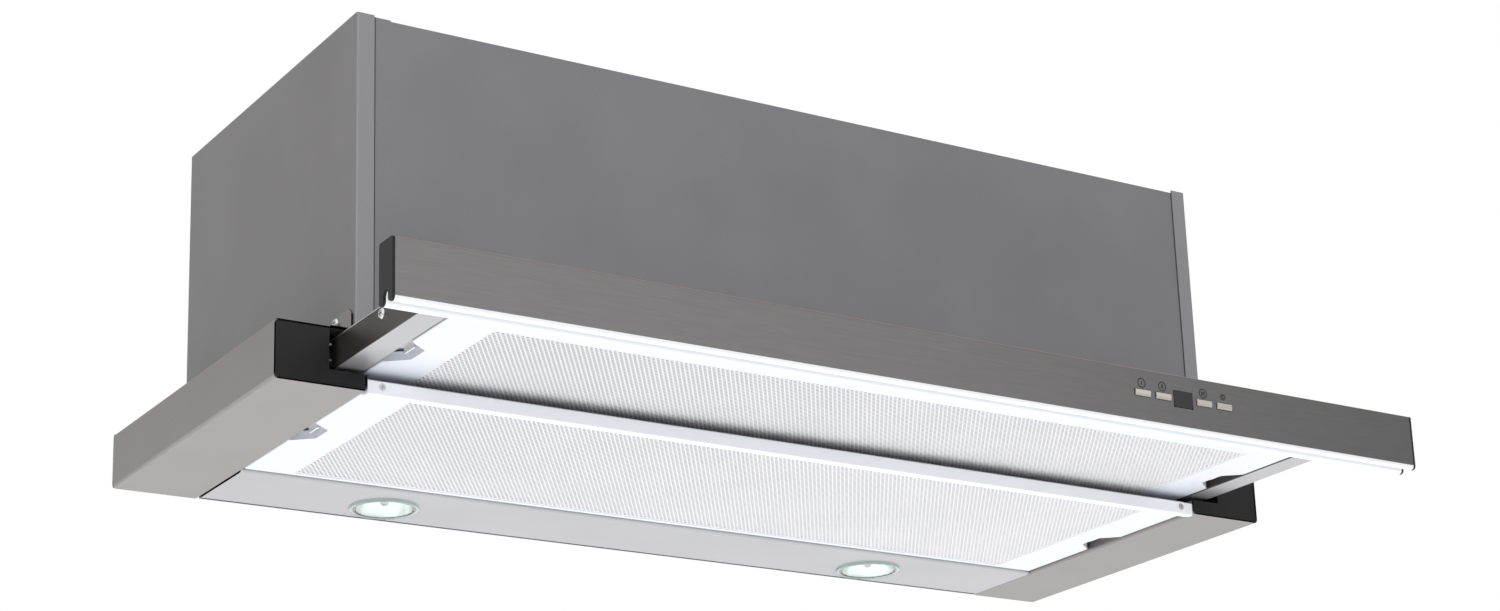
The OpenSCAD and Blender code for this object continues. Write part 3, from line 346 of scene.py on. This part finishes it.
PAINT = (0.207, 0.204, 0.212)
# Painted light: the grey paint drawn paler on faces that look down, as if lit from below
PAINTED_LIGHT_BELOW = (0.45, 0.45, 0.47)
# Painted shade and light on the side panels: the same grey paint darker on their sides and lighter on their
# flanges' front faces
SHADED_SIDE_PAINT = (0.19, 0.184, 0.185)
LIT_FLANGE_PAINT = (0.27, 0.268, 0.28)
STEEL = (0.3, 0.288, 0.284)
# Painted reflection and shade: the stainless steel drawn darker and browner on faces that look sideways
SHADED_STEEL_ASIDE = (0.265, 0.247, 0.243)
RAIL_STEEL = (0.48, 0.48, 0.5)
# Painted shade: the rails' side walls drawn near black, as if in shadow
RAIL_SHADE_ASIDE = (0.06, 0.052, 0.05)
BLACK = (0.009, 0.009, 0.01)
BOARD_GREEN = (0.02, 0.12, 0.05)
TRACK_GREEN = (0.05, 0.24, 0.1)
MATERIALS = {
    # Grey paint with painted light on its down-facing faces
    "painted_steel": grainy("grey_paint", PAINT, 0.42, 0.35, 0.9, 0.03, 0.1, ("Z", -1, PAINTED_LIGHT_BELOW)),
    # Side panels: painted shade on their sides, painted light on their flanges' front faces
    "side_paint": grainy("side_paint", SHADED_SIDE_PAINT, 0.42, 0.35, 0.9, 0.03, 0.1, ("Y", -1, LIT_FLANGE_PAINT)),
    # Wings: painted reflection and shade on their side faces
    "stainless": brushed("brushed_steel_y", STEEL, 0.36, "Y", other=("X", 0, SHADED_STEEL_ASIDE)),
    "lamp_sheet": brushed("satin_steel_x", (0.5, 0.5, 0.525), 0.4, "X", 0.6, 0.05),
    "black_plastic": grainy("black_plastic", BLACK, 0.5, 0.0, 0.4, 0.03, 0.2, Specular_IOR_Level=0.3),
    "white_aluminium": grainy("white_aluminium", (0.94, 0.965, 1.0), 0.36, 0.05, 0.7, 0.01, 0.01),
    "filter_frame": grainy("filter_frame", (0.77, 0.8, 0.86), 0.36, 0.15, 0.7, 0.01, 0.015),
    "filter_mesh": grainy("bright_mesh", (0.86, 0.86, 0.89), 0.34, 0.2, 0.6, 0.01, 0.03),
    # Partly painted shade: the filter pad drawn darker and bluer than its aluminium, for the shade seen
    # through the mesh
    "filter_pad": grainy("filter_pad", (0.31, 0.31, 0.38), 0.5, 0.2, 0.6, 0.01, 0.08),
    "zinc_steel": zinc_plate("zinc_plated_steel", (0.5, 0.5, 0.51), 0.36),
    "bright_screws": polished("bright_steel", (0.66, 0.66, 0.66), 0.2),
    "lamp_mirror": polished("lamp_mirror", (0.8, 0.81, 0.82), 0.12),
    "lamp_glass": clear_glass("lamp_glass", (0.9, 0.98, 0.95), (0.4, 0.56, 0.5), 0.02),
    "rubber": grainy("rubber", (0.02, 0.02, 0.02), 0.75, 0.0, 0.5, 0.04, 0.2),
    "grey_plastic": grainy("grey_plastic", (0.56, 0.56, 0.54), 0.45, 0.0, 0.6, 0.02, 0.04),
    "rotor_plastic": grainy("rotor_plastic", (0.05, 0.05, 0.055), 0.4, 0.0, 0.6, 0.02, 0.1),
    "display": polished("display_glass", (0.008, 0.008, 0.01), 0.06, 0.0),
    "board": circuit_board("circuit_board", BOARD_GREEN, TRACK_GREEN),
    # Painted reflection: the key chrome tinted warm, as it reflects brownish surroundings
    "chrome_keys": polished("key_chrome", (0.62, 0.58, 0.54), 0.14),
    # Rails: painted shade on their side walls
    "rail_steel": brushed("rail_steel_y", RAIL_STEEL, 0.38, "Y", 0.6, 0.06, ("X", 0, RAIL_SHADE_ASIDE)),
    "latch_steel": polished("latch_steel", (0.78, 0.78, 0.79), 0.3, 0.5),
}
FRONT_STEEL = steel_over_aluminium("front_steel", (0.2, 0.196, 0.195), (0.84, 0.85, 0.89))
PRINT_BLACK = grainy("print_black", (0.02, 0.02, 0.022), 0.5, 0.0, 0.3, 0.005, 0.1)


def dress(obj, material):
    obj.data.materials.clear()
    obj.data.materials.append(material)


for part in frame["record"]["subparts"]:
    dress(frame["nodes"][part["node"]], MATERIALS[part["material_slot"]])
for node in ("drawer_front", "front_lip"):
    dress(frame["nodes"][node], FRONT_STEEL)
SEAM_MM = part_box("left_side_panel")[1].x / -MM
# Front panel with painted shade in the seams beside its flanges
dress(frame["nodes"]["front_panel"], paint_with_seam_shade("front_paint", PAINT, SEAM_MM))
for node in ("left_side_panel", "right_side_panel"):
    dress(frame["nodes"][node], MATERIALS["side_paint"])
for material, nodes in {
    "filter_pad": ("fixed_filter_pad", "moving_filter_pad"),
    "filter_frame": ("fixed_filter_frame", "moving_filter_frame"),
    "rail_steel": ("left_rail", "right_rail"),
    "latch_steel": ("fixed_left_latch", "fixed_right_latch", "moving_left_latch", "moving_right_latch"),
}.items():
    for node in nodes:
        dress(frame["nodes"][node], MATERIALS[material])


# ------------------------------------------------------------------ pieces


def piece(name, points, faces, material, body):
    """A flat-shaded mesh piece that rides on a CAD body."""
    mesh = bpy.data.meshes.new(name)
    mesh.from_pydata([tuple(p) for p in points], [], [tuple(f) for f in faces])
    mesh.update()
    mesh.polygons.foreach_set("use_smooth", [False] * len(mesh.polygons))
    made = bpy.data.objects.new(name, mesh)
    bpy.context.scene.collection.objects.link(made)
    dress(made, material)
    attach(made, body)
    return made


def expanded_skin(name, node, frame_node, body, border):
    """Sheet of diamond openings in staggered rows. Each strand is a low ridge that points down."""
    low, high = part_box(frame_node)
    x_half = high.x - FILTER_END_BORDER
    y0, y1 = low.y + border, high.y - border
    step_x = MESH_PITCH_X / 2
    columns = int(x_half / step_x)
    rows = int((y1 - y0) / MESH_ROW_Y)
    mid_y = (y0 + y1) / 2
    slope = math.hypot(step_x, MESH_ROW_Y)
    hole_x = step_x - MESH_STRAND / 2 * slope / MESH_ROW_Y
    hole_y = MESH_ROW_Y - MESH_STRAND / 2 * slope / step_x
    ridge_z = low.z + MESH_LIFT
    top_z = ridge_z + MESH_DEPTH
    points, faces, corner, joint = [], [], {}, {}
    for a in range(-columns, columns + 1):
        for b in range(rows + 1):
            x, y = a * step_x, mid_y + (b - rows / 2) * MESH_ROW_Y
            if (a + b) % 2:
                joint[a, b] = len(points)
                points.append((x, y, ridge_z))
            else:
                corner[a, b] = len(points)
                offsets = ((hole_x, 0), (0, hole_y), (-hole_x, 0), (0, -hole_y))
                points += [(x + dx, y + dy, top_z) for dx, dy in offsets]
    for (a, b), right in corner.items():
        top, left = right + 1, right + 2
        for side, near, far_first, far_second in ((1, right, 3, 2), (-1, left, 3, 0)):
            other = corner.get((a + side, b + 1))
            if other is None:
                continue
            first, second = joint[a + side, b], joint[a, b + 1]
            quads = [
                (near, top, second, first),
                (other + far_second, other + far_first, first, second),
                (near, other + far_first, other + far_second, top),
            ]
            faces += [q if side == 1 else q[::-1] for q in quads]
    for a, b in joint:
        around = [corner.get(k) for k in ((a - 1, b), (a, b - 1), (a + 1, b), (a, b + 1))]
        if None not in around:
            faces.append((around[0], around[1] + 1, around[2] + 2, around[3] + 3))
    rim_z = (top_z + RIM_GAP, top_z + RIM_GAP + RIM_T)
    for xa, xb, ya, yb in (
        (-x_half - MESH_RIM, x_half + MESH_RIM, y0 - MESH_RIM, y0 + MESH_RIM / 2),
        (-x_half - MESH_RIM, x_half + MESH_RIM, y1 - MESH_RIM / 2, y1 + MESH_RIM),
        (-x_half - MESH_RIM, -x_half + MESH_RIM / 2, y0 + MESH_RIM / 2, y1 - MESH_RIM / 2),
        (x_half - MESH_RIM / 2, x_half + MESH_RIM, y0 + MESH_RIM / 2, y1 - MESH_RIM / 2),
    ):
        add_box(points, faces, (xa, ya, rim_z[0]), (xb, yb, rim_z[1]))
    skin = piece(name, points, faces, MATERIALS["filter_mesh"], body)
    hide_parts(node)


def add_box(points, faces, a, b):
    n = len(points)
    points += [(x, y, z) for z in (a[2], b[2]) for y in (a[1], b[1]) for x in (a[0], b[0])]
    for f in ((0, 2, 3, 1), (4, 5, 7, 6), (0, 1, 5, 4), (2, 6, 7, 3), (0, 4, 6, 2), (1, 3, 7, 5)):
        faces.append(tuple(n + i for i in f))


def ring(points, faces, centre, inner, outer, y0, y1):
    """Flat ring in X and Z, between two depths."""
    n = len(points)
    for i in range(RING_PARTS):
        a = 2 * math.pi * i / RING_PARTS
        for r, y in ((inner, y0), (outer, y0), (outer, y1), (inner, y1)):
            points.append((centre[0] + r * math.cos(a), y, centre[1] + r * math.sin(a)))
    for i in range(RING_PARTS):
        j = (i + 1) % RING_PARTS
        for k in range(4):
            m = (k + 1) % 4
            faces.append((n + 4 * i + k, n + 4 * j + k, n + 4 * j + m, n + 4 * i + m))


def stroke(points, faces, centre, turn, start, stop, wide, y0, y1):
    """Flat bar in X and Z that leaves the centre at an angle."""
    along = Vector((math.cos(turn), math.sin(turn)))
    across = Vector((-math.sin(turn), math.cos(turn)))
    n = len(points)
    for y in (y0, y1):
        for r, s in ((start, -1), (stop, -1), (stop, 1), (start, 1)):
            p = Vector(centre) + along * r + across * (s * wide / 2)
            points.append((p.x, y, p.y))
    for f in ((0, 1, 2, 3), (7, 6, 5, 4), (0, 4, 5, 1), (1, 5, 6, 2), (2, 6, 7, 3), (3, 7, 4, 0)):
        faces.append(tuple(n + i for i in f))


def key_signs():
    """Printed signs: one, two and three bars in a ring, and a lamp with its rays."""
    face_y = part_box("drawer_front")[0].y
    y0, y1 = face_y - PRINT_T, face_y + PRINT_T
    points, faces = [], []
    for bars, key in ((1, "power_key"), (2, "slow_key"), (3, "fast_key"), (0, "light_key")):
        low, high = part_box(key)
        centre = ((low.x + high.x) / 2, (low.z + high.z) / 2 + SIGN_RISE)
        if bars:
            ring(points, faces, centre, SIGN_R - SIGN_STROKE, SIGN_R, y0, y1)
            for i in range(bars):
                at = (centre[0] + (i - (bars - 1) / 2) * BAR_PITCH, centre[1])
                stroke(points, faces, at, math.pi / 2, -SIGN_BAR, SIGN_BAR, SIGN_STROKE, y0, y1)
        else:
            ring(points, faces, centre, SUN_R - SIGN_STROKE, SUN_R, y0, y1)
            for i in range(RAYS):
                turn = 2 * math.pi * i / RAYS
                stroke(points, faces, centre, turn, SUN_R + RAY_GAP, RAY_R, SIGN_STROKE, y0, y1)
    piece("key_signs", points, faces, PRINT_BLACK, "drawer")


expanded_skin("fixed_filter_skin", "fixed_filter_mesh", "fixed_filter_frame", "hood", FIXED_BORDER)
expanded_skin("moving_filter_skin", "moving_filter_mesh", "moving_filter_frame", "drawer", MOVING_BORDER)
key_signs()
for key in ("power_key", "slow_key", "fast_key", "light_key"):
    soft = frame["nodes"][key].modifiers.new("soft_edges", "BEVEL")
    soft.width = KEY_BEVEL
    soft.segments = 4


# ------------------------------------------------------------------ studio


def studio_world(level, lean, dark_side, dark_share):
    """White to the camera, and through glass. Its light leans to one side, with a darker patch."""
    world = bpy.data.worlds.new("studio")
    bpy.context.scene.world = world
    world.use_nodes = True
    nodes, links = world.node_tree.nodes, world.node_tree.links

    def node(kind, *values, **settings):
        made = nodes.new("ShaderNode" + kind)
        for name, value in settings.items():
            setattr(made, name, value)
        for socket, value in zip(made.inputs, values):
            if isinstance(value, bpy.types.NodeSocket):
                links.new(value, socket)
            else:
                socket.default_value = value
        return made

    path = node("LightPath").outputs
    seen = node("Math", path["Is Camera Ray"], path["Is Transmission Ray"], operation="MAXIMUM").outputs[0]
    towards = node("TexCoord").outputs["Generated"]
    side = node("VectorMath", towards, lean, operation="DOT_PRODUCT").outputs["Value"]
    light = node("Math", side, level, operation="ADD").outputs[0]
    light = node("Math", light, LEAST_LIGHT, operation="MAXIMUM").outputs[0]
    flat = node("VectorMath", towards, (1, 1, 0), operation="MULTIPLY").outputs[0]
    flat = node("VectorMath", flat, operation="NORMALIZE").outputs[0]
    dark_way = Vector(dark_side).normalized()
    patch = node("VectorMath", flat, dark_way, operation="DOT_PRODUCT").outputs["Value"]
    steps = (patch, PATCH_EDGE, PATCH_HEART, 1.0, 1 - dark_share)
    fade = node("MapRange", *steps, interpolation_type="SMOOTHSTEP").outputs[0]
    light = node("Math", light, fade, operation="MULTIPLY").outputs[0]
    strength = node("Math", seen, light, operation="MAXIMUM").outputs[0]
    background = nodes["Background"]
    background.inputs["Color"].default_value = (1, 1, 1, 1)
    links.new(strength, background.inputs["Strength"])


def studio_floor():
    """Pale floor well below the hood, clear from underneath."""
    ways = ((-1, -1), (1, -1), (1, 1), (-1, 1))
    corners = [(x * FLOOR_HALF, y * FLOOR_HALF, FLOOR_Z) for x, y in ways]
    mesh = bpy.data.meshes.new("floor")
    mesh.from_pydata(corners, [], [(0, 1, 2, 3)])
    floor = bpy.data.objects.new("floor", mesh)
    bpy.context.scene.collection.objects.link(floor)
    look = Look("floor_white", (0.82, 0.82, 0.82), 0.8)
    behind = look.node("NewGeometry").outputs["Backfacing"]
    clear = look.node("BsdfTransparent").outputs[0]
    both = look.node("MixShader", {0: behind, 1: look.shader.outputs[0], 2: clear})
    look.tree.links.new(both.outputs[0], look.tree.nodes["Material Output"].inputs["Surface"])
    dress(floor, look.material)


def soft_lamp(name, at, towards, size, radiance):
    """Square area lamp. Its power follows from the radiance that its face should have."""
    data = bpy.data.lights.new(name, "AREA")
    data.size = size
    data.energy = radiance * math.pi * size * size
    lamp = bpy.data.objects.new(name, data)
    lamp.location = at
    lamp.rotation_euler = (Vector(towards) - Vector(at)).to_track_quat("-Z", "Y").to_euler()
    lamp.visible_camera = False
    bpy.context.scene.collection.objects.link(lamp)


def photo_camera():
    data = bpy.data.cameras.new("camera")
    data.lens = FOCAL_MM
    data.sensor_width = SENSOR_MM
    data.shift_y = RISE
    data.clip_start = 0.05
    data.clip_end = 50
    camera = bpy.data.objects.new("camera", data)
    camera.location = CAMERA_AT
    camera.rotation_euler = Euler([math.radians(a) for a in CAMERA_TURN])
    bpy.context.scene.collection.objects.link(camera)
    bpy.context.scene.camera = camera


studio_world(0.98, (-0.16, -0.4, 0.0), (0.8, -0.55, 0.0), 0.85)
studio_floor()
soft_lamp("lamp_below", (0.6, 1.5, FLOOR_Z + 0.05), (0.6, 1.5, 0), 7.0, 0.6)
soft_lamp("lamp_left", (-1.0, 0.85, -0.1), (-0.45, 0.3, 0.1), 0.5, 0.7)
photo_camera()
bpy.context.scene.view_settings.view_transform = "Standard"
